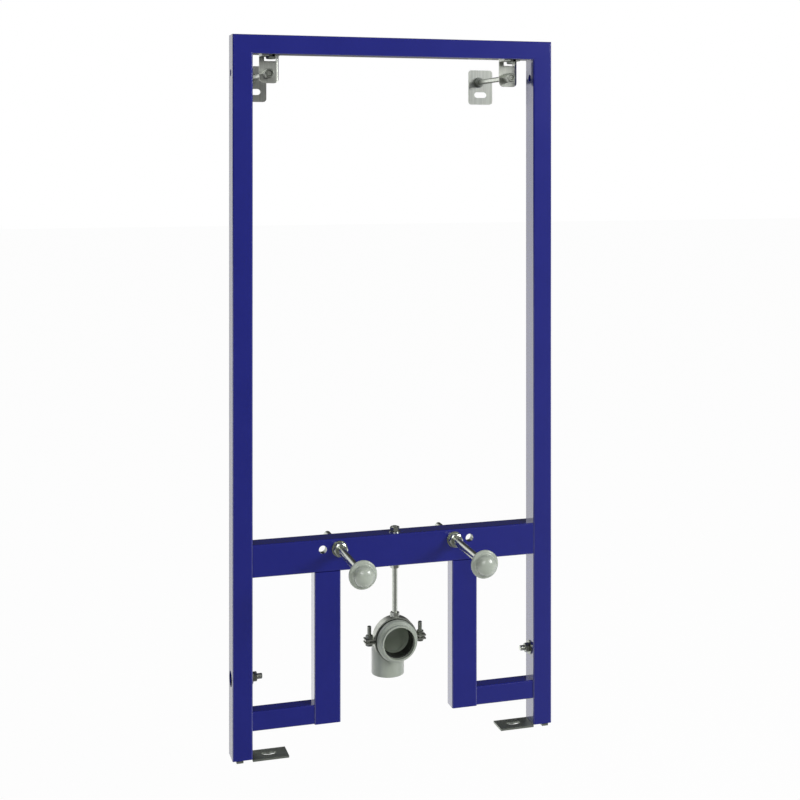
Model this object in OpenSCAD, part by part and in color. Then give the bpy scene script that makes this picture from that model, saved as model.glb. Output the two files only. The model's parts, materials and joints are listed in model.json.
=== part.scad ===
// Installation frame for a wall-hung bidet: a welded and painted steel frame that stands
// on two telescopic feet, is tied back to the wall by two adjustable brackets, carries the
// bidet's two fixing pins on its crossbar and holds the waste bend in a pipe clamp.
//
// The modules draw in workshop coordinates: X from the middle of the frame, Y back from
// the front face of the uprights, Z up from the lower end of the uprights. in_place()
// then moves the model, because the part's origin is the middle of the wall face of the
// left wall plate, with +X to the right, +Y into the wall and +Z up.

/* [Frame] */
// Overall width of the frame
frame_w = 500; // [490:1:560]
// Height of the uprights
frame_h = 1060; // [900:1:1300]
// Width of an upright seen from the front
tube_w = 30; // [28:1:34]
// Depth of the uprights and of the top bar
tube_d = 34; // [33:1:44]
// Height of the top bar seen from the front
top_bar_h = 28; // [24:1:36]
// Wall of the steel tubes
tube_wall = 2; // [1.5:0.1:2.4]
// Outer corner radius of the tubes
tube_r = 2.5; // [1.5:0.1:3]

/* [Crossbar and posts] */
// Height of the crossbar's lower edge
cross_z = 264.5; // [230:0.5:320]
// Height of the crossbar's front
cross_h = 48; // [44:1:60]
// Depth of the crossbar's flanges
cross_d = 32; // [28:1:33]
// Sheet thickness of the crossbar
cross_t = 2.5; // [2:0.1:3]
// How far the crossbar and the posts sit behind the front of the uprights
cross_setback = 1; // [0.5:0.1:1.5]
// Distance between the middles of the two posts
post_pitch = 215; // [205:1:230]
// Width of a post
post_w = 40; // [34:1:44]
// Depth of the posts and of the lower bars
post_d = 25; // [22:1:26]
// Height of the posts' lower end
post_z = 39.6; // [30:0.1:60]
// Height of the lower bars seen from the front
lower_bar_h = 28.5; // [20:0.5:30]
// How far the lower bars sit behind the front of the uprights
lower_setback = 2.6; // [1.6:0.1:4]

/* [Fixing pins] */
// Distance between the two pins
pin_pitch = 180; // [170:1:190]
// Distance between the spare pair of threaded holes
spare_pitch = 230; // [226:1:240]
// Height of the pins above the lower end of the uprights
pin_z = 298; // [290:0.5:300]
// Diameter of a pin
pin_d = 12; // [10:0.5:12.5]
// How far a pin stands out in front of the uprights
pin_front = 147; // [110:1:180]
// How far a pin runs back behind the front of the uprights
pin_back = 80; // [60:1:100]
// Across flats of the pin's nuts
pin_nut_af = 19; // [18:0.5:20]
// Thickness of the pin's nuts
pin_nut_h = 10; // [8:0.5:12]
// Diameter of the washer under a pin's front nut
pin_washer_d = 24; // [23:0.5:26]
// Thickness of that washer
pin_washer_t = 2.5; // [1.5:0.5:3]
// Diameter of the cap's flange
cap_flange_d = 41; // [37:0.5:44]
// Thickness of the cap's flange
cap_flange_t = 5; // [4:0.5:7]
// Diameter of the cap's dome
cap_dome_d = 29; // [26:0.5:31]
// Length of the cap
cap_len = 21; // [20:0.5:26]
// How far a pin reaches into its cap
cap_depth = 14; // [10:0.5:16]

/* [Feet] */
// Travel of a telescopic foot
foot_travel = 200; // [100:5:220]
// Length of a leg
leg_len = 330; // [330:5:420]
// Sliding clearance round a leg
leg_gap = 0.5; // [0.3:0.1:0.8]
// Sheet thickness of a leg
leg_wall = 3; // [2:0.1:3]
// Thickness of a foot plate
foot_t = 3; // [2.5:0.1:5]
// How far a foot plate reaches inwards from its upright
foot_reach = 54; // [52:0.5:70]
// Gap between a foot plate and the end of its upright
foot_gap = 0.5; // [0.3:0.1:1]
// Distance between the ends of the curved slot in a foot plate
foot_slot_len = 14; // [12:0.5:18]
// Width of that slot
foot_slot_w = 8; // [7:0.5:9]
// Radius of the curve that the slot follows
foot_slot_r = 14; // [12:0.5:30]
// Width of the tongue under the front of the upright
tongue_w = 10; // [8:0.5:14]
// Height of the clamping screw of a foot
screw_z = 115; // [100:1:125]
// Diameter of the clamping screw
screw_d = 8; // [6:0.5:8.5]
// How far the clamping screw stands out of the upright
screw_out = 16.5; // [15:0.5:20]
// Diameter of the access hole opposite the clamping screw
access_d = 23; // [16:0.5:24]

/* [Waste bend] */
// Outer diameter of the waste pipe
pipe_d = 50; // [48:0.5:52]
// Wall of the waste bend
pipe_wall = 1.8; // [1.5:0.1:2.5]
// Height of the middle of the bend's mouth
mouth_z = 151; // [145:0.5:155]
// How far the mouth stands in front of the uprights
mouth_front = 11; // [9:0.5:16]
// How far the down pipe's axis lies behind the front of the uprights
pipe_y = 54; // [54:0.5:62]
// Height of the lower end of the down pipe
pipe_end_z = 86; // [70:0.5:96]
// Radius of the bend's centre line
bend_r = 28; // [27:0.5:28]
// Diameter of the bead that holds the seal
bead_d = 62; // [60:0.5:63]
// Length of the socket
socket_len = 36; // [35:0.5:36]
// Bore of the rubber seal
seal_bore = 44; // [40:0.5:46]
// Length of the rubber seal
seal_len = 18; // [14:0.5:24]

/* [Pipe clamp] */
// Width of the clamp band
band_w = 15; // [12:0.5:15]
// Thickness of the steel band
band_t = 2; // [1.5:0.1:2.2]
// Thickness of the rubber lining
lining_t = 2.6; // [1.5:0.1:2.8]
// Distance of a clamp screw from the middle of the pipe
ear_x = 40; // [39:0.5:44]
// Half the gap between the two halves of the band
band_gap = 1.5; // [1:0.1:2.5]
// Diameter of a clamp screw
ear_screw_d = 6; // [4:0.5:6]
// Height of a clamp screw above the middle of the pipe
ear_screw_up = 22; // [18:0.5:26]
// Across flats of a clamp screw's head and nut
ear_nut_af = 10; // [8:0.5:11]
// Diameter of the drop rod
rod_d = 8; // [6:0.5:8.5]
// Across flats of the drop rod's nuts
rod_nut_af = 13; // [12:0.5:14]
// Thickness of the drop rod's nuts
rod_nut_h = 6.5; // [5:0.5:8]
// Height of the nut welded on top of the clamp
boss_h = 8; // [7:0.5:12]

/* [Wall brackets] */
// Distance between the two wall brackets
bracket_pitch = 380; // [360:1:390]
// Width of a bracket
bracket_w = 30; // [28:0.5:32]
// Sheet thickness of a bracket
bracket_t = 2.5; // [2:0.1:3]
// Outer bend radius of a bracket
bracket_r = 4; // [3.5:0.5:5]
// How far a bracket hangs below the top bar
bracket_drop = 41.5; // [38:0.5:50]
// Depth of the bracket's top flange
bracket_top_d = 25; // [23:0.5:28]
// Depth of the bracket's side flange
bracket_side_d = 16; // [12:0.5:20]
// How far the wall rod lies to the left of the bracket's middle
rod_off = 4; // [2:0.5:5]
// How far the wall rod lies above the bracket's lower edge
rod_up = 13.5; // [13:0.5:16]
// Distance of the wall from the front of the uprights
wall_y = 163; // [140:1:200]
// Length of the adjusting nut on the wall rod
adjuster_len = 24; // [18:0.5:26]
// Width of a wall plate
plate_w = 41; // [38:0.5:50]
// Height of a wall plate
plate_h = 56.5; // [54:0.5:70]
// Thickness of a wall plate
plate_t = 3; // [2:0.1:4]
// Corner radius of a wall plate
plate_r = 5; // [2:0.5:6]
// How far the wall rod lies above the middle of its plate
plate_rod_up = 8; // [8:0.5:11]
// How far the slot lies below the middle of its plate
plate_slot_down = 12.5; // [11:0.5:15]
// Length of the slot in a wall plate, from end to end
plate_slot_len = 22; // [18:0.5:26]
// Width of the slot in a wall plate
plate_slot_w = 9.5; // [8:0.5:11]

/* [Hidden] */
$fn = 64;

// Colours, as they look on the real frame
paint_blue = "#2b2d7c";
zinc = "#b4b8b0";
dark_zinc = "#6c706a";
cap_grey = "#c3c9bd";
bend_grey = "#bcc2b6";
rubber = "#1c201c";

// Clearance of a screw or rod in its hole, on the radius
hole_gap = 0.1;
// Clearance between a clamping screw and the leg that it holds
tip_gap = 0.3;
// How far a cutting shape runs past the face it cuts
past = 1;

inner_w = frame_w - 2 * tube_w;
bar_z = frame_h - top_bar_h;
mid_y = tube_d / 2;
cross_top = cross_z + cross_h;
lower_bar_len = (inner_w - post_pitch - post_w) / 2;
lower_bar_d = post_d;
leg_w = tube_w - 2 * tube_wall - 2 * leg_gap;
leg_d = tube_d - 2 * tube_wall - 2 * leg_gap;
pipe_r = pipe_d / 2;
socket_r = pipe_r + pipe_wall + 2;
socket_bore_r = socket_r - pipe_wall;
bead_r = bead_d / 2;
lip_r = bead_r - 4.5;
lip_t = 2.5;
bend_y = pipe_y - bend_r;
bend_z = mouth_z - bend_r;
lining_r = socket_r + hole_gap;
band_r = lining_r + lining_t;
// Faces of the socket, counted back from the mouth
bead_start = 8;
bead_end = 18.5;
body_end = socket_len - 2;
clamp_y = (bead_end + body_end) / 2 - mouth_front;
// The welded nut is sunk a little, so that its flat underside meets the round band
boss_z = mouth_z + band_r + band_t - 1.6;
bracket_x = bracket_pitch / 2;
bracket_z = bar_z - bracket_drop;
bolt_y = tube_d - bracket_top_d + 10;
bolt_d = 8;
wall_rod_z = bracket_z + rod_up;
plate_z = wall_rod_z - plate_rod_up;
leg_z = -foot_gap;
// The seal starts this far behind the mouth
seal_depth = bead_start;
// Front face of the brackets' front plates
bracket_front = tube_d - bracket_t;
// Wall rods and their nuts
wall_rod_d = 8;
wall_nut_af = 13;
wall_nut_h = 6.5;

// Moves the workshop coordinates so that the origin is on the left wall plate
module in_place() {
    translate([bracket_x, -wall_y, -plate_z]) children();
}

// A rectangle with round corners, its middle at the origin
module round_rect(w, h, r) {
    square([w - 2 * r, h], center = true);
    square([w, h - 2 * r], center = true);
    for (x = [-1, 1], y = [-1, 1])
        translate([x * (w / 2 - r), y * (h / 2 - r)]) circle(r);
}

// A rectangular tube along Z
module tube(w, d, len, wall, r) {
    linear_extrude(len) difference() {
        round_rect(w, d, r);
        round_rect(w - 2 * wall, d - 2 * wall, max(r - wall, 0.5));
    }
}

// A straight slot with round ends, long along X, cut through a plate of thickness t
module slot_cut(len, w, t) {
    for (x = [-1, 1]) translate([x * (len - w) / 2, 0, -past]) cylinder(d = w, h = t + 2 * past);
    translate([-(len - w) / 2, -w / 2, -past]) cube([len - w, w, t + 2 * past]);
}

// A hexagon nut along Z with its corners chamfered at both faces
module nut(af, h, bore_r) {
    corner_r = af / 2 / cos(30);
    cut = 0.06 * af;
    intersection() {
        difference() {
            cylinder(r = corner_r, h = h, $fn = 6);
            translate([0, 0, -past]) cylinder(r = bore_r, h = h + 2 * past);
        }
        rotate_extrude() polygon([[0, 0], [corner_r - 2 * cut, 0], [corner_r, cut],
            [corner_r, h - cut], [corner_r - 2 * cut, h], [0, h]]);
    }
}

// A flat washer along Z
module washer(d, bore_r, t) {
    difference() {
        cylinder(d = d, h = t);
        translate([0, 0, -past]) cylinder(r = bore_r, h = t + 2 * past);
    }
}

// A rod along Z with a small chamfer at both ends
module rod(d, len) {
    bevel = d / 12;
    rotate_extrude() polygon([[0, 0], [d / 2 - bevel, 0], [d / 2, bevel],
        [d / 2, len - bevel], [d / 2 - bevel, len], [0, len]]);
}

// Turns a shape drawn along Z so that it runs back along +Y
module along_y() {
    rotate([-90, 0, 0]) children();
}

// Turns a shape drawn along Z so that it runs sideways, towards +X or -X
module along_x(side = 1) {
    rotate([0, side * 90, 0]) children();
}

// Everything above the mitre at a top corner of the frame, or everything below it
module mitre_cut(side, above) {
    slope = top_bar_h / tube_w;
    inner = tube_w + past;
    outer = above ? 0 : past;
    edge = above ? frame_h + past : bar_z - 2 * past;
    rotate([90, 0, 0]) translate([0, 0, -tube_d - past]) linear_extrude(tube_d + 2 * past)
        polygon([[side * (frame_w / 2 + outer), frame_h + slope * outer],
            [side * (frame_w / 2 - inner), frame_h - slope * inner],
            [side * (frame_w / 2 - inner), edge],
            [side * (frame_w / 2 + outer), edge]]);
}

module upright(side) {
    middle = side * (frame_w / 2 - tube_w / 2);
    color(paint_blue) difference() {
        translate([middle, mid_y, 0]) tube(tube_w, tube_d, frame_h, tube_wall, tube_r);
        mitre_cut(side, true);
        // Cross hole level with the wall rods
        translate([middle - tube_w, mid_y, wall_rod_z]) along_x() cylinder(d = 10.5, h = 2 * tube_w);
        // Hole for the clamping screw in the inner wall, and a wide one in the outer wall
        translate([side * (inner_w / 2 - past), mid_y, screw_z]) along_x(side)
            cylinder(r = screw_d / 2 + hole_gap, h = tube_wall + 2 * past);
        translate([side * (frame_w / 2 - tube_wall - past), mid_y, screw_z]) along_x(side)
            cylinder(d = access_d, h = tube_wall + 2 * past);
    }
}

module top_bar() {
    color(paint_blue) difference() {
        translate([-frame_w / 2, mid_y, bar_z + top_bar_h / 2]) along_x()
            tube(top_bar_h, tube_d, frame_w, tube_wall, tube_r);
        for (side = [-1, 1]) {
            mitre_cut(side, false);
            translate([side * bracket_x, bolt_y, bar_z - past])
                cylinder(r = bolt_d / 2 + hole_gap, h = tube_wall + 2 * past);
        }
    }
}

// A channel that is open at the back, with lips, bored for both pairs of pins
module crossbar() {
    lip = 8;
    color(paint_blue) difference() {
        translate([-inner_w / 2, cross_setback + cross_d / 2, cross_z + cross_h / 2]) along_x()
            linear_extrude(inner_w) difference() {
                round_rect(cross_h, cross_d, tube_r);
                round_rect(cross_h - 2 * cross_t, cross_d - 2 * cross_t, cross_t / 2);
                translate([-(cross_h / 2 - lip), 0]) square([cross_h - 2 * lip, cross_d]);
            }
        for (pitch = [pin_pitch, spare_pitch], side = [-1, 1])
            translate([side * pitch / 2, -past, pin_z]) along_y()
                cylinder(r = pin_d / 2 + hole_gap, h = cross_setback + cross_t + 2 * past);
        translate([0, clamp_y, cross_z - past])
            cylinder(r = rod_d / 2 + hole_gap, h = cross_h + 2 * past);
    }
}

// The nuts welded behind the crossbar's front, one for each threaded hole
module weld_nuts() {
    color(dark_zinc) for (pitch = [pin_pitch, spare_pitch], side = [-1, 1])
        translate([side * pitch / 2, cross_setback + cross_t, pin_z]) along_y()
            nut(pin_nut_af, pin_nut_h, pin_d / 2 + hole_gap);
}

module post(side) {
    color(paint_blue) translate([side * post_pitch / 2, cross_setback + post_d / 2, post_z])
        tube(post_w, post_d, cross_z - post_z, tube_wall, tube_r);
}

module lower_bar(side) {
    start = side > 0 ? inner_w / 2 - lower_bar_len : -inner_w / 2;
    color(paint_blue) translate([start, lower_setback + lower_bar_d / 2, post_z + lower_bar_h / 2])
        along_x() tube(lower_bar_h, lower_bar_d, lower_bar_len, tube_wall, tube_r);
}

module pin(side) {
    color(zinc) translate([side * pin_pitch / 2, -pin_front, pin_z]) along_y()
        rod(pin_d, pin_front + pin_back);
}

// The nut and washer that lock a pin against the front of the crossbar
module pin_nut(side) {
    color(zinc) translate([side * pin_pitch / 2, cross_setback, pin_z]) along_y() mirror([0, 0, 1]) {
        washer(pin_washer_d, pin_d / 2 + hole_gap, pin_washer_t);
        translate([0, 0, pin_washer_t]) nut(pin_nut_af, pin_nut_h, pin_d / 2 + hole_gap);
    }
}

// A plastic cap on the end of a pin: a round-edged flange, a hollow neck and a dome
module pin_cap(side) {
    flange_r = cap_flange_d / 2;
    dome_r = cap_dome_d / 2;
    edge = cap_flange_t / 2;
    neck = 2.4;
    flat = 0.62;
    dome_z = cap_len - dome_r * flat;
    color(cap_grey) translate([side * pin_pitch / 2, cap_depth - pin_front, pin_z]) along_y()
        mirror([0, 0, 1]) difference() {
            rotate_extrude() polygon(concat(
                [[0, 0]],
                [for (a = [-90:15:75]) [flange_r - edge + edge * cos(a), edge + edge * sin(a)]],
                [for (a = [0:15:75]) [dome_r + neck - neck * sin(a), cap_flange_t + neck - neck * cos(a)]],
                [for (a = [0:6:90]) [dome_r * cos(a), dome_z + flat * dome_r * sin(a)]]));
            translate([0, 0, -past]) cylinder(r = pin_d / 2 + hole_gap, h = cap_depth + hole_gap + past);
        }
}

// The pipe behind the socket at radius r: level stretch, quarter turn and down pipe
module bend_run(r, below) {
    translate([0, socket_len - mouth_front, mouth_z]) along_y()
        cylinder(r = r, h = max(bend_y + mouth_front - socket_len, 0.5));
    translate([0, bend_y, bend_z]) rotate([90, 0, 90]) rotate_extrude(angle = 90)
        translate([bend_r, 0]) circle(r);
    translate([0, pipe_y, pipe_end_z - below]) cylinder(r = r, h = bend_z - pipe_end_z + below);
}

// The socket from its lip over the bead and the body to the pipe, turned round the mouth's axis
module socket_form() {
    rotate_extrude() polygon([[0, 0], [lip_r - 0.6, 0], [lip_r, 0.6], [lip_r, bead_start - 3],
        [bead_r - 0.8, bead_start], [bead_r, bead_start + 1.5], [bead_r, bead_end - 2.4],
        [bead_r - 0.8, bead_end - 1], [socket_r, bead_end],
        [socket_r, body_end], [pipe_r + 0.2, socket_len], [0, socket_len]]);
}

module waste_bend() {
    color(bend_grey) difference() {
        union() {
            translate([0, -mouth_front, mouth_z]) along_y() socket_form();
            bend_run(pipe_r, 0);
        }
        // Opening in the lip, chamber for the seal and bore of the pipe
        translate([0, -mouth_front - past, mouth_z]) along_y()
            cylinder(r = lip_r - lip_t, h = past + seal_depth + past);
        translate([0, -mouth_front + seal_depth, mouth_z]) along_y()
            cylinder(r = socket_bore_r, h = seal_len);
        translate([0, -mouth_front + seal_depth, mouth_z]) along_y()
            cylinder(r = pipe_r - pipe_wall, h = socket_len - seal_depth + past);
        bend_run(pipe_r - pipe_wall, past);
    }
}

// A rubber ring in its chamber, with two lips that press on the pipe that is pushed in
module mouth_seal() {
    seal_r = socket_bore_r - hole_gap;
    bore_r = seal_bore / 2;
    color(rubber) translate([0, -mouth_front + seal_depth + hole_gap, mouth_z]) along_y()
        difference() {
            cylinder(r = seal_r, h = seal_len - 2 * hole_gap);
            translate([0, 0, -past]) cylinder(r = bore_r, h = seal_len + 2 * past);
        }
}

// Half of the clamp band with an ear at each end, drawn for the upper half
module band_half() {
    outer_r = band_r + band_t;
    ear_len = ear_x + 7.5;
    translate([0, clamp_y - band_w / 2, mouth_z]) along_y() mirror([0, 1, 0]) linear_extrude(band_w)
        difference() {
            union() {
                intersection() {
                    circle(outer_r);
                    translate([-outer_r, band_gap]) square([2 * outer_r, outer_r]);
                }
                translate([-ear_len, band_gap]) square([2 * ear_len, band_t]);
            }
            circle(band_r);
        }
}

// Bores for the two clamp screws
module ear_bores() {
    for (side = [-1, 1]) translate([side * ear_x, clamp_y, mouth_z - 10])
        cylinder(r = ear_screw_d / 2 + hole_gap, h = 20);
}

module clamp_upper() {
    color(zinc) difference() {
        union() {
            band_half();
            difference() {
                translate([0, clamp_y, boss_z]) nut(rod_nut_af, boss_h, rod_d / 2 + hole_gap);
                translate([0, -past, mouth_z]) along_y() cylinder(r = band_r + 0.5, h = 2 * clamp_y);
            }
        }
        ear_bores();
        translate([0, clamp_y, mouth_z + band_r - past]) cylinder(r = rod_d / 2 + hole_gap, h = 20);
    }
}

module clamp_lower() {
    color(zinc) difference() {
        translate([0, 0, 2 * mouth_z]) mirror([0, 0, 1]) band_half();
        ear_bores();
    }
}

module clamp_lining() {
    color(rubber) translate([0, clamp_y - band_w / 2 - 0.3, mouth_z]) along_y() difference() {
        cylinder(r = band_r - hole_gap, h = band_w + 0.6);
        translate([0, 0, -past]) cylinder(r = lining_r, h = band_w + 2 * past);
    }
}

// A hexagon bolt from below through both ears, with a nut on top
module clamp_screw(side) {
    head_h = 4;
    nut_h = 5;
    under = band_gap + band_t;
    color(dark_zinc) translate([side * ear_x, clamp_y, mouth_z]) {
        translate([0, 0, -under - head_h]) nut(ear_nut_af, head_h, 1);
        translate([0, 0, -under - head_h]) rod(ear_screw_d, under + head_h + ear_screw_up);
        translate([0, 0, under]) nut(ear_nut_af, nut_h, ear_screw_d / 2);
    }
}

module drop_rod() {
    end_z = cross_top + 9;
    color(zinc) translate([0, clamp_y, boss_z + 2]) rod(rod_d, end_z - boss_z - 2);
}

// The nuts that hold the drop rod above and below the crossbar, and a washer on top
module drop_rod_nuts() {
    washer_t = 1.6;
    bore_r = rod_d / 2 + hole_gap;
    color(zinc) translate([0, clamp_y, 0]) {
        translate([0, 0, cross_top]) washer(rod_nut_af + 4, bore_r, washer_t);
        translate([0, 0, cross_top + washer_t]) nut(rod_nut_af, rod_nut_h, bore_r);
        translate([0, 0, cross_z - rod_nut_h]) nut(rod_nut_af, rod_nut_h, bore_r);
    }
}

// Sheet-metal angle under the top bar: a front plate with a window, a flange on top
// with an open slot for the bolt, and a side flange bent back
module bracket(side) {
    left = -bracket_w / 2;
    right = bracket_w / 2;
    corner = 8;
    window = [-7.5, 11];
    window_h = 6;
    top = bracket_drop;
    color(zinc) translate([side * bracket_x, tube_d, bracket_z]) difference() {
        union() {
            // Front plate, its lower corners round, bent back at the right
            intersection() {
                linear_extrude(top) difference() {
                    union() {
                        translate([left, -bracket_t]) square([bracket_w - bracket_r, bracket_t]);
                        translate([right - bracket_r, bracket_r - bracket_t]) circle(bracket_r);
                        translate([right - bracket_t, bracket_r - bracket_t])
                            square([bracket_t, bracket_side_d - bracket_r]);
                    }
                    translate([right - bracket_r, bracket_r - bracket_t])
                        circle(bracket_r - bracket_t);
                    translate([right - bracket_r - bracket_w, 0]) square([bracket_w, bracket_w]);
                    translate([right - bracket_r, bracket_r - bracket_t])
                        square([bracket_r - bracket_t, bracket_w]);
                }
                rotate([90, 0, 0]) translate([0, 0, -bracket_side_d]) linear_extrude(2 * bracket_side_d)
                    union() {
                        translate([left, corner]) square([bracket_w, top - corner]);
                        translate([left + corner, 0]) square([bracket_w - 2 * corner, corner]);
                        for (x = [left + corner, right - corner]) translate([x, corner]) circle(corner);
                    }
            }
            // Top flange under the bar
            translate([left, -bracket_top_d, top - bracket_t])
                cube([bracket_w - bracket_r, bracket_top_d, bracket_t]);
        }
        // Window where the bolt's head can be reached
        translate([window[0], -bracket_t - past, top - bracket_t - window_h])
            cube([window[1] - window[0], bracket_t + 2 * past, window_h]);
        // Slot for the bolt, open to the front
        translate([0, bolt_y - tube_d, top - bracket_t - past])
            cylinder(r = bolt_d / 2 + 0.5, h = bracket_t + 2 * past);
        translate([-bolt_d / 2 - 0.5, -bracket_top_d - past, top - bracket_t - past])
            cube([bolt_d + 1, bolt_y - tube_d + bracket_top_d + past, bracket_t + 2 * past]);
        // Hole for the wall rod
        translate([-rod_off, -bracket_t - past, rod_up]) along_y()
            cylinder(r = wall_rod_d / 2 + hole_gap, h = bracket_t + 2 * past);
    }
}

// The bolt that holds a bracket under the top bar
module bracket_bolt(side) {
    head_h = 4;
    head_af = 13;
    color(dark_zinc) translate([side * bracket_x, bolt_y, bar_z - bracket_t - head_h]) {
        nut(head_af, head_h, 1);
        rod(bolt_d, head_h + bracket_t + tube_wall + 8);
    }
}

module wall_rod(side) {
    front = bracket_front - adjuster_len + 2;
    color(zinc) translate([side * bracket_x - rod_off, front, wall_rod_z]) along_y()
        rod(wall_rod_d, wall_y - front);
}

// The long adjusting nut in front of the bracket, the lock nut behind it and the
// nut and washer in front of the wall plate
module wall_nuts(side) {
    bore_r = wall_rod_d / 2 + hole_gap;
    washer_t = 1.6;
    plate_front = wall_y - plate_t;
    color(dark_zinc) translate([side * bracket_x - rod_off, 0, wall_rod_z]) {
        translate([0, bracket_front - adjuster_len, 0]) along_y() nut(wall_nut_af, adjuster_len, bore_r);
        translate([0, tube_d, 0]) along_y() nut(wall_nut_af, wall_nut_h, bore_r);
        translate([0, plate_front - washer_t, 0]) along_y() washer(wall_nut_af + 4, bore_r, washer_t);
        translate([0, plate_front - washer_t - wall_nut_h, 0]) along_y()
            nut(wall_nut_af, wall_nut_h, bore_r);
    }
}

module wall_plate(side) {
    color(zinc) translate([side * bracket_x, wall_y - plate_t, plate_z]) along_y() difference() {
        linear_extrude(plate_t) round_rect(plate_w, plate_h, plate_r);
        translate([0, plate_slot_down, 0]) slot_cut(plate_slot_len, plate_slot_w, plate_t);
        translate([-rod_off, -plate_rod_up, -past])
            cylinder(r = wall_rod_d / 2 + hole_gap, h = plate_t + 2 * past);
    }
}

// Clamping screw of a foot, through the inner wall of the upright
module foot_screw(side) {
    tip = inner_w / 2 + tube_wall + leg_gap - tip_gap;
    color(zinc) translate([side * tip, mid_y, screw_z]) along_x(-side)
        rod(screw_d, tip - inner_w / 2 + screw_out);
}

// The nut and washer that lock the clamping screw against the upright
module foot_nut(side) {
    washer_t = 2;
    bore_r = screw_d / 2 + hole_gap;
    color(dark_zinc) translate([side * inner_w / 2, mid_y, screw_z]) along_x(-side) {
        washer(21, bore_r, washer_t);
        translate([0, 0, washer_t]) nut(13, 6.5, bore_r);
    }
}

// A channel that slides in the upright, its open side outwards
module leg(side) {
    r = 1;
    middle = side * (frame_w / 2 - tube_w / 2);
    color(zinc) translate([middle, mid_y, leg_z]) linear_extrude(leg_len) difference() {
        round_rect(leg_w, leg_d, r);
        translate([side * leg_wall, 0]) square([leg_w, leg_d - 2 * leg_wall], center = true);
    }
}

// The outline of a foot plate: it starts behind the upright's front, with a tongue
// that comes forward, and reaches inwards at the frame's full depth
module foot_plate(side) {
    notch = 8;
    outer = frame_w / 2 - 2;
    inner = frame_w / 2 - tube_w - foot_reach;
    tongue_x = frame_w / 2 - 6;
    color(dark_zinc) translate([0, 0, leg_z - foot_t]) linear_extrude(foot_t) mirror([side < 0 ? 1 : 0, 0])
        difference() {
            union() {
                translate([inner, 0]) square([foot_reach, tube_d - 1]);
                translate([inner, notch]) square([outer - inner, tube_d - 1 - notch]);
                translate([tongue_x - tongue_w, 0]) square([tongue_w, notch + 1]);
            }
            translate([inner + foot_reach / 2, mid_y]) curved_slot();
        }
}

// A slot that follows an arc, its ends round and turned towards the back
module curved_slot() {
    half = asin(foot_slot_len / 2 / foot_slot_r);
    rise = foot_slot_r * (1 - cos(half)) / 2;
    end_r = foot_slot_w / 2;
    function around(a, r) = [r * sin(a), -r * cos(a)];
    translate([0, foot_slot_r - rise]) polygon(concat(
        [for (i = [-6:6]) around(half * i / 6, foot_slot_r + end_r)],
        [for (i = [1:7]) around(half, foot_slot_r) + end_r * [sin(half + 22.5 * i), -cos(half + 22.5 * i)]],
        [for (i = [6:-1:-6]) around(half * i / 6, foot_slot_r - end_r)],
        [for (i = [7:-1:1]) around(-half, foot_slot_r) + end_r * [-sin(half + 22.5 * i), -cos(half + 22.5 * i)]]));
}

in_place() upright(-1);  // upright_left
in_place() upright(1);  // upright_right
in_place() top_bar();
in_place() crossbar();
in_place() post(-1);  // post_left
in_place() post(1);  // post_right
in_place() lower_bar(-1);  // lower_bar_left
in_place() lower_bar(1);  // lower_bar_right
in_place() weld_nuts();
in_place() pin(-1);  // pin_left
in_place() pin(1);  // pin_right
in_place() pin_nut(-1);  // pin_nut_left
in_place() pin_nut(1);  // pin_nut_right
in_place() pin_cap(-1);  // pin_cap_left
in_place() pin_cap(1);  // pin_cap_right
in_place() waste_bend();
in_place() mouth_seal();
in_place() clamp_upper();
in_place() clamp_lower();
in_place() clamp_lining();
in_place() clamp_screw(-1);  // clamp_screw_left
in_place() clamp_screw(1);  // clamp_screw_right
in_place() drop_rod();
in_place() drop_rod_nuts();
in_place() bracket(-1);  // bracket_left
in_place() bracket(1);  // bracket_right
in_place() bracket_bolt(-1);  // bracket_bolt_left
in_place() bracket_bolt(1);  // bracket_bolt_right
in_place() wall_rod(-1);  // wall_rod_left
in_place() wall_rod(1);  // wall_rod_right
in_place() wall_nuts(-1);  // wall_nuts_left
in_place() wall_nuts(1);  // wall_nuts_right
in_place() wall_plate(-1);  // wall_plate_left
in_place() wall_plate(1);  // wall_plate_right
in_place() foot_screw(-1);  // foot_screw_left
in_place() foot_screw(1);  // foot_screw_right
in_place() foot_nut(-1);  // foot_nut_left
in_place() foot_nut(1);  // foot_nut_right
in_place() leg(-1);  // leg_left
in_place() leg(1);  // leg_right
in_place() foot_plate(-1);  // foot_plate_left
in_place() foot_plate(1);  // foot_plate_right
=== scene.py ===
import json
import math

import bpy
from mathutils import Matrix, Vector


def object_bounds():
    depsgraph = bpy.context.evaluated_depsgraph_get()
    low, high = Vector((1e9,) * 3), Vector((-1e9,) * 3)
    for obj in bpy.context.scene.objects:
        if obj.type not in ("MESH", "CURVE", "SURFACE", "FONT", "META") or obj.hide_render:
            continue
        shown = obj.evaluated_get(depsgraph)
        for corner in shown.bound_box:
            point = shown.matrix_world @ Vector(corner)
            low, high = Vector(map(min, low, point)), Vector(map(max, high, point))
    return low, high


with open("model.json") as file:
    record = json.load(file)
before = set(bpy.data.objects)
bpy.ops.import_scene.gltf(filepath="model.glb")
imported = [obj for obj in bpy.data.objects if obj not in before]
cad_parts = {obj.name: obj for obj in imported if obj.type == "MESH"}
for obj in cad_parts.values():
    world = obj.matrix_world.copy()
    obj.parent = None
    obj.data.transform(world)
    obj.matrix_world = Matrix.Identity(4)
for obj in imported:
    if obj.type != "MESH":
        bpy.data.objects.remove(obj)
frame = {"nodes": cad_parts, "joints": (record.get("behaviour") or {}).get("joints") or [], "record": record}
cad_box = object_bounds()
nodes = frame["nodes"]

MM = 0.001
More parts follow.
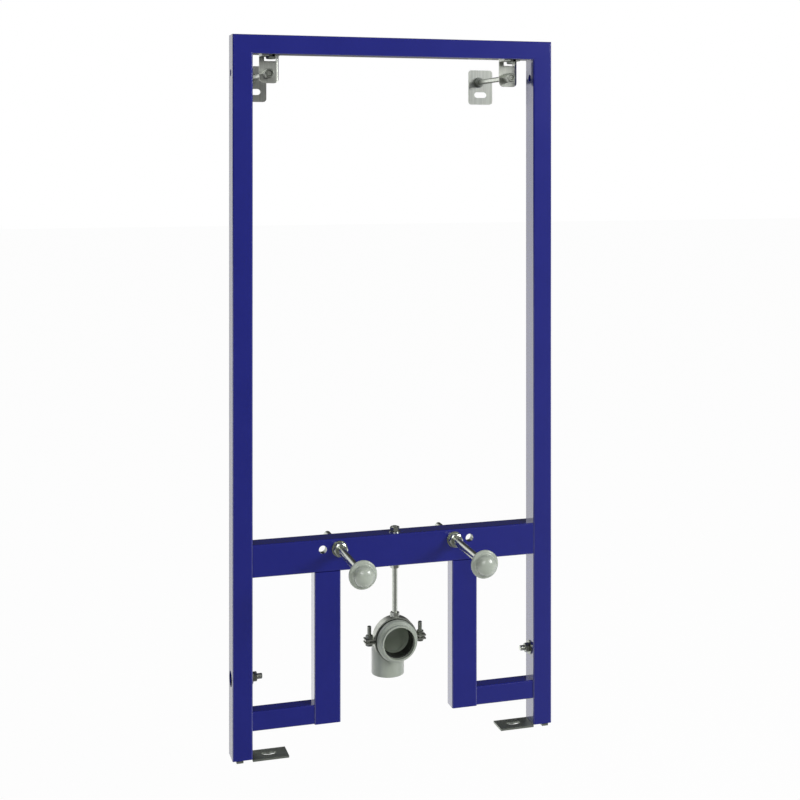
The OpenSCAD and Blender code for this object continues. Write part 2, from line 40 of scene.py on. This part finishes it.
# Brightness of the studio by compass angle, 0 behind the frame and 90 at its right:
# of the walls above eye level, and of what lies below it
WALLS_HIGH = ((-180, 0.12), (-150, 0.1), (-120, 0.06), (-60, 0.08), (-35, 0.5), (-25, 1.2), (-12, 1.3),
              (-9, 0.5), (-2, 0.1), (8, 0.04), (60, 0.08), (110, 0.3), (140, 0.25), (180, 0.12))
WALLS_LOW = ((-180, 0.12), (-150, 0.3), (-120, 1.0), (-60, 1.2), (-25, 1.3), (-12, 1.4), (-9, 0.45),
             (-2, 0.15), (8, 0.1), (40, 0.7), (60, 1.0), (120, 1.0), (145, 0.35), (165, 0.15), (180, 0.12))
WALLS_TOP = 1.5
# Share of the floor that shines white to the camera; the rest keeps the shadow
FLOOR_GLOW = 0.975
# Height of a direction, as its upward share, where the low ring ends and the high one begins
RING_EDGE = (-0.12, -0.02)


def linear(code):
    """An sRGB hex colour as the linear colour that a shader socket takes."""
    parts = [int(code[i:i + 2], 16) / 255 for i in (1, 3, 5)]
    return [*(p / 12.92 if p <= 0.04045 else ((p + 0.055) / 1.055) ** 2.4 for p in parts), 1.0]


def add(tree, kind, inputs=None, **settings):
    """Adds a node with its settings; an input is a plain value or another node's output."""
    node = tree.nodes.new(kind)
    for name, value in settings.items():
        setattr(node, name, value)
    for name, value in (inputs or {}).items():
        if isinstance(value, bpy.types.NodeSocket):
            tree.links.new(value, node.inputs[name])
        else:
            node.inputs[name].default_value = value
    return node


def start_material(name):
    """A new material with its tree, its shader and the Object coordinates."""
    material = bpy.data.materials.new(name)
    material.use_nodes = True
    tree = material.node_tree
    shader = tree.nodes["Principled BSDF"]
    place = add(tree, "ShaderNodeTexCoord").outputs["Object"]
    return material, tree, shader, place


def vary(tree, fac, low, high):
    """A value that runs from low to high as fac runs from 0 to 1."""
    return add(tree, "ShaderNodeMapRange", {"Value": fac, "To Min": low, "To Max": high}).outputs["Result"]


def tint(tree, fac, dark, light):
    """A colour that runs from dark to light as fac runs from 0 to 1."""
    mix = add(tree, "ShaderNodeMix", {"Factor": fac}, data_type="RGBA")
    mix.inputs["A"].default_value = linear(dark)
    mix.inputs["B"].default_value = linear(light)
    return next(out for out in mix.outputs if out.type == "RGBA")


def noise(tree, place, size, detail=2.0, stretch=(1, 1, 1)):
    """Noise whose features are about size metres across, stretched along the axes."""
    scaled = add(tree, "ShaderNodeMapping", {"Vector": place, "Scale": stretch}).outputs["Vector"]
    grain = add(tree, "ShaderNodeTexNoise", {"Vector": scaled, "Scale": 1 / size, "Detail": detail})
    return grain.outputs["Fac"]


def bump(tree, shader, height, depth):
    """Relief of that depth in metres on the shader's normal."""
    relief = add(tree, "ShaderNodeBump", {"Height": height, "Distance": depth, "Strength": 1.0})
    tree.links.new(relief.outputs["Normal"], shader.inputs["Normal"])


def powder_coat():
    """Ultramarine gloss powder coat on steel: smooth, with faint orange peel 3 mm across."""
    material, tree, shader, place = start_material("ultramarine_powder_coat")
    shader.inputs["IOR"].default_value = 1.5
    shader.inputs["Coat Weight"].default_value = 1.0
    shader.inputs["Coat Roughness"].default_value = 0.08
    cloud = noise(tree, place, 60 * MM)
    tree.links.new(tint(tree, cloud, "#171f85", "#1a228e"), shader.inputs["Base Color"])
    peel = noise(tree, place, 3 * MM, 3.0)
    tree.links.new(vary(tree, cloud, 0.16, 0.24), shader.inputs["Roughness"])
    bump(tree, shader, peel, 0.004 * MM)
    return material


def zinc_plate(name, dark, light, rough):
    """Bright zinc plating on turned steel: a soft metal sheen with faint cloudy spots."""
    material, tree, shader, place = start_material(name)
    shader.inputs["Metallic"].default_value = 1.0
    cloud = noise(tree, place, 9 * MM, 3.0)
    fine = noise(tree, place, 0.8 * MM)
    tree.links.new(tint(tree, cloud, dark, light), shader.inputs["Base Color"])
    tree.links.new(vary(tree, fine, rough - 0.06, rough + 0.08), shader.inputs["Roughness"])
    bump(tree, shader, fine, 0.01 * MM)
    return material


def rolled_zinc_sheet():
    """Galvanised sheet, cut from the coil: upright streaks 2 to 3 mm apart from rolling."""
    material, tree, shader, place = start_material("rolled_galvanised_sheet")
    shader.inputs["Metallic"].default_value = 1.0
    streak = noise(tree, place, 3 * MM, 3.0, (1, 1, 0.03))
    grain = noise(tree, place, 0.6 * MM)
    tree.links.new(tint(tree, streak, "#9ca098", "#e0e3da"), shader.inputs["Base Color"])
    tree.links.new(vary(tree, streak, 0.42, 0.3), shader.inputs["Roughness"])
    bump(tree, shader, grain, 0.012 * MM)
    return material


def moulded_polypropylene(name, dark, light, rough):
    """Pale grey-green polypropylene from a mould: waxy, with a trace of flow marks."""
    material, tree, shader, place = start_material(name)
    shader.inputs["IOR"].default_value = 1.49
    shader.inputs["Coat Weight"].default_value = 0.8
    shader.inputs["Coat Roughness"].default_value = rough
    shader.inputs["Subsurface Weight"].default_value = 0.06
    shader.inputs["Subsurface Radius"].default_value = (0.004, 0.004, 0.003)
    flow = noise(tree, place, 22 * MM)
    fine = noise(tree, place, 0.9 * MM)
    tree.links.new(tint(tree, flow, dark, light), shader.inputs["Base Color"])
    tree.links.new(vary(tree, flow, rough - 0.04, rough + 0.06), shader.inputs["Roughness"])
    bump(tree, shader, fine, 0.01 * MM)
    return material


def black_rubber():
    """Black EPDM rubber: dull, with a fine moulded grain."""
    material, tree, shader, place = start_material("black_epdm_rubber")
    shader.inputs["IOR"].default_value = 1.52
    grain = noise(tree, place, 0.7 * MM)
    tree.links.new(tint(tree, grain, "#121512", "#1e221e"), shader.inputs["Base Color"])
    tree.links.new(vary(tree, grain, 0.5, 0.66), shader.inputs["Roughness"])
    bump(tree, shader, grain, 0.03 * MM)
    return material


finishes = {
    "paint": powder_coat(),
    "zinc_rod": zinc_plate("bright_zinc_plated_rod", "#b9beb4", "#d6dad0", 0.24),
    "fastener_steel": zinc_plate("zinc_plated_fastener", "#858a82", "#a9ada4", 0.3),
    "galvanised_sheet": rolled_zinc_sheet(),
    "foot_steel": zinc_plate("plain_zinc_foot_steel", "#8d938b", "#a7ada4", 0.5),
    "cap_plastic": moulded_polypropylene("gloss_polypropylene_cap", "#bcc5b8", "#c6cec2", 0.24),
    "pipe_plastic": moulded_polypropylene("satin_polypropylene_pipe", "#b2bbae", "#bec6b9", 0.34),
    "rubber": black_rubber(),
}
for subpart in frame["record"]["subparts"]:
    mesh = nodes[subpart["node"]].data
    mesh.materials.clear()
    mesh.materials.append(finishes[subpart["material_slot"]])

# Camera, where the photograph's was, in the part's frame
camera_data = bpy.data.cameras.new("camera")
camera_data.sensor_width = 36
camera_data.lens = 62.01
camera_data.shift_y = -0.3011
camera_data.clip_end = 50
camera = bpy.data.objects.new("camera", camera_data)
camera.location = (-0.3924, -2.1549, -0.1186)
camera.rotation_euler = (math.radians(90), 0, math.radians(-16.4))
bpy.context.collection.objects.link(camera)
bpy.context.scene.camera = camera


def ring(tree, turn, walls):
    """The brightness of one ring of walls, as a share of WALLS_TOP, for a turn from 0 to 1."""
    ramp = add(tree, "ShaderNodeValToRGB", {"Fac": turn})
    stops = ramp.color_ramp.elements
    for degrees, strength in walls:
        stop = {-180: stops[0], 180: stops[-1]}.get(degrees) or stops.new((degrees + 180) / 360)
        stop.color = (*[strength / WALLS_TOP] * 3, 1)
    return ramp.outputs["Color"]


def studio_world():
    """White to the camera; to the object, two rings of lit and dark walls."""
    world = bpy.data.worlds.new("studio")
    world.use_nodes = True
    tree = world.node_tree
    way = add(tree, "ShaderNodeSeparateXYZ",
              {0: add(tree, "ShaderNodeTexCoord").outputs["Generated"]}).outputs
    angle = add(tree, "ShaderNodeMath", {0: way["X"], 1: way["Y"]}, operation="ARCTAN2").outputs[0]
    turn = add(tree, "ShaderNodeMapRange",
               {"Value": angle, "From Min": -math.pi, "From Max": math.pi}).outputs["Result"]
    high = add(tree, "ShaderNodeMapRange",
               {"Value": way["Z"], "From Min": RING_EDGE[0], "From Max": RING_EDGE[1]},
               interpolation_type="SMOOTHSTEP").outputs["Result"]
    share = add(tree, "ShaderNodeMix", {"Factor": high, "A": ring(tree, turn, WALLS_LOW),
                                        "B": ring(tree, turn, WALLS_HIGH)}, data_type="FLOAT")
    walls = add(tree, "ShaderNodeMath", {0: share.outputs["Result"], 1: WALLS_TOP}, operation="MULTIPLY")
    ray = add(tree, "ShaderNodeLightPath").outputs["Is Camera Ray"]
    seen = add(tree, "ShaderNodeMix", {"Factor": ray, "A": walls.outputs[0], "B": 1.0}, data_type="FLOAT")
    tree.links.new(seen.outputs["Result"], tree.nodes["Background"].inputs["Strength"])
    tree.nodes["Background"].inputs["Color"].default_value = (1, 1, 1, 1)
    bpy.context.scene.world = world


def softbox(name, place, aim, size, power):
    """A square area lamp that the camera doesn't see."""
    data = bpy.data.lights.new(name, "AREA")
    data.size = size
    data.energy = power
    lamp = bpy.data.objects.new(name, data)
    lamp.location = place
    lamp.rotation_euler = (Vector(aim) - Vector(place)).to_track_quat("-Z", "Y").to_euler()
    lamp.visible_camera = False
    bpy.context.collection.objects.link(lamp)


def studio_floor():
    """A pale floor, as deep as the feet can reach, close to white for the camera."""
    low = cad_box[0][2] - max(joint["range_m"][1] for joint in frame["joints"])
    bpy.ops.mesh.primitive_plane_add(size=40, location=(0, 0, low))
    floor = bpy.context.object
    floor.name = "studio_floor"
    material = bpy.data.materials.new("pale_paper_floor")
    material.use_nodes = True
    tree = material.node_tree
    tree.nodes.remove(tree.nodes["Principled BSDF"])
    ray = add(tree, "ShaderNodeLightPath").outputs
    paper = add(tree, "ShaderNodeBsdfDiffuse", {"Color": linear("#f2f2f0")})
    glow = add(tree, "ShaderNodeEmission", {"Color": (1, 1, 1, 1), "Strength": 1.0})
    share = add(tree, "ShaderNodeMath", {0: ray["Is Camera Ray"], 1: FLOOR_GLOW}, operation="MULTIPLY")
    mixed = add(tree, "ShaderNodeMixShader", {"Fac": share.outputs[0]})
    tree.links.new(paper.outputs[0], mixed.inputs[1])
    tree.links.new(glow.outputs[0], mixed.inputs[2])
    open_floor = add(tree, "ShaderNodeBsdfTransparent")
    whole = add(tree, "ShaderNodeMixShader", {"Fac": ray["Is Glossy Ray"]})
    tree.links.new(mixed.outputs[0], whole.inputs[1])
    tree.links.new(open_floor.outputs[0], whole.inputs[2])
    tree.links.new(whole.outputs[0], tree.nodes["Material Output"].inputs["Surface"])
    floor.data.materials.append(material)


middle = (0.19, -0.15, -0.45)
studio_world()
studio_floor()
softbox("key_softbox", (2.6, -2.6, 0.9), middle, 1.2, 60)
softbox("fill_softbox", (-1.0, -3.2, 1.2), middle, 1.6, 30)

bpy.context.scene.view_settings.view_transform = "Standard"
